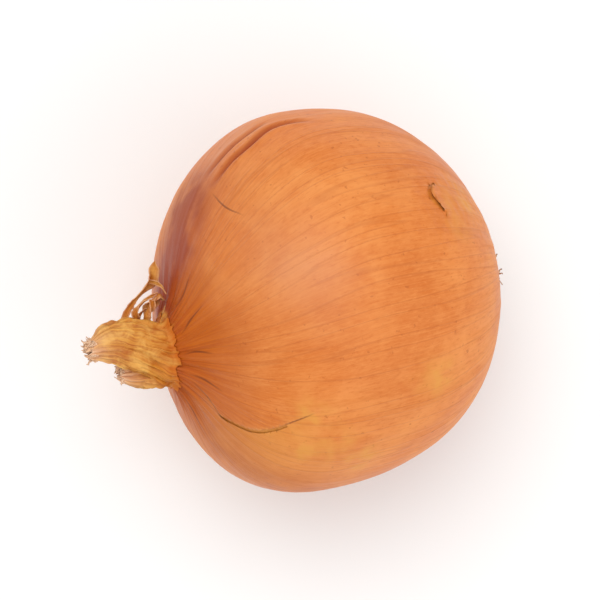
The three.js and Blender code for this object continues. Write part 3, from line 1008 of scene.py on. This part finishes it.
def root_mat():
    """Short dried roots lying crossed over the middle of the root plate."""
    parts = []
    for _ in range(MAT_ROOTS):
        around, heading = random.uniform(0, 2 * np.pi, 2)
        middle = SEAT_RADIUS * 0.7 * math.sqrt(random.uniform(0, 1))
        steps = np.linspace(-0.5, 0.5, 5)[:, None] * random.uniform(3.5, 8) * MM
        route = np.array([math.cos(around) * middle, math.sin(around) * middle, OUTLINE[2, 1]])
        route = route + steps * (math.cos(heading), math.sin(heading), 0) + random.normal(0, 0.5 * MM, (5, 3))
        route[:, 2] -= PLATE_PROUD + random.uniform(0, 1.2) * MM
        parts.append(strand(over_root_end(route, 0.35 * MM, 2.4 * MM), random.uniform(0.4, 0.9) * MM,
                            int(random.integers(1, 900))))
    root_piece("root_mat_fibres", parts)


def joined(parts):
    """One set of points, faces and grain from several."""
    starts = np.cumsum([0] + [len(points) for points, _, _ in parts[:-1]])
    faces = np.vstack([faces + start for (_, faces, _), start in zip(parts, starts)])
    return np.vstack([points for points, _, _ in parts]), faces, np.vstack([grain for _, _, grain in parts])


def fringe(name, stations, count, reach):
    """The frayed end of a neck leaf: thin pale fibres that stick out past it."""
    height, side, depth, half_width, half_depth = along_curve(stations, 30)[-5]
    lean = unit(stations[-1, [2, 1, 0]] - stations[-2, [2, 1, 0]])
    steps = np.linspace(0, 1, 5)
    fibres = []
    for _ in range(count):
        around = random.uniform(0, 2 * np.pi)
        out = np.array([np.cos(around) * half_depth, np.sin(around) * half_width, 0]) * random.uniform(0.2, 1)
        start = np.array([depth, side, height]) + out
        heading = unit(lean + random.normal(0, 0.22, 3) + out / (6 * MM))
        bend = random.normal(0, 0.35 * MM, 3)
        length = random.uniform(0.5, 1) * reach
        route = start + np.outer(steps, heading) * length + np.outer(steps**2, bend)
        fibres.append(strand(route, random.uniform(0.4, 0.9) * MM, int(random.integers(1, 900)), 9, 6))
    points, faces, grain = joined(fibres)
    flat = np.ones(len(points))
    piece(name, points, faces, DRY_LEAF, "dry_leaf", grain=grain, edge=0.92 * flat, ochre=0 * flat)


fringe("neck_leaf_front_fray", FRONT_LEAF, 34, 2.2 * MM)
fringe("neck_leaf_back_fray", BACK_LEAF, 14, 1.3 * MM)
root_plate_piece()
for name in sorted(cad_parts):
    if name.startswith("outer_root"):
        bundle(name, *OUTER_BUNDLE)
    elif name.startswith("inner_root"):
        bundle(name, *INNER_BUNDLE)
root_mat()


# ---- Floor, light and camera ----

FLOOR_WIDTH = 8.0
FRAME_SHARE = 0.68  # how much of the picture's width the onion takes


def floor():
    """A plain pale floor, like unprinted paper."""
    graph = Graph("floor_paper")
    place = graph.node("TexCoord", "Object")
    tone = graph.mix(graph.noise(place, 3, 2), (0.91, 0.91, 0.91, 1), (0.93, 0.93, 0.93, 1))
    material = graph.finish(tone, 0.7, graph.bump(graph.noise(place, 900, 2), 0.01 * MM))
    mesh = bpy.data.meshes.new("floor")
    half = FLOOR_WIDTH / 2
    corners = [(-half, -half, 0), (half, -half, 0), (half, half, 0), (-half, half, 0)]
    mesh.from_pydata(corners, [], [(0, 1, 2, 3)])
    mesh.materials.append(material)
    thing = bpy.data.objects.new("floor", mesh)
    bpy.context.scene.collection.objects.link(thing)


def area_light(name, place, aim, size, watts, color=(1, 1, 1)):
    """A round soft light at a place, turned towards what it is aimed at."""
    data = bpy.data.lights.new(name, "AREA")
    data.shape = "DISK"
    data.size = size
    data.energy = watts
    data.color = color
    thing = bpy.data.objects.new(name, data)
    thing.location = place
    thing.rotation_euler = (Vector(aim) - Vector(place)).to_track_quat("-Z", "Y").to_euler()
    bpy.context.scene.collection.objects.link(thing)


def lights():
    """Three soft lights and an even studio round them."""
    middle = (0, 0, MIDDLE_HEIGHT)
    area_light("key_light", (-0.1, 0.4, 1.0), middle, 0.8, 4.4, (1, 0.98, 0.95))
    area_light("fill_light", (0.8, -0.4, 0.8), middle, 1.0, 2.0, (0.98, 0.99, 1))
    area_light("front_light", (0.3, -0.9, 0.6), middle, 1.0, 1.2)
    world = bpy.data.worlds.new("studio")
    bpy.context.scene.world = world
    world.use_nodes = True
    world.node_tree.nodes["Background"].inputs["Color"].default_value = (1, 1, 1, 1)
    world.node_tree.nodes["Background"].inputs["Strength"].default_value = 0.78


def camera():
    """Straight above, with the neck to the left."""
    low, high = (Vector(corner) for corner in CAD_BOX)
    middle = (low + high) / 2
    data = bpy.data.cameras.new("camera")
    data.lens = 150
    data.sensor_width = 36
    distance = (high - low).x / FRAME_SHARE * data.lens / data.sensor_width
    data.clip_end = 20
    thing = bpy.data.objects.new("camera", data)
    thing.location = middle + Vector((0, 0, distance))
    bpy.context.scene.collection.objects.link(thing)
    bpy.context.scene.camera = thing


floor()
lights()
camera()
bpy.context.scene.view_settings.view_transform = "Standard"
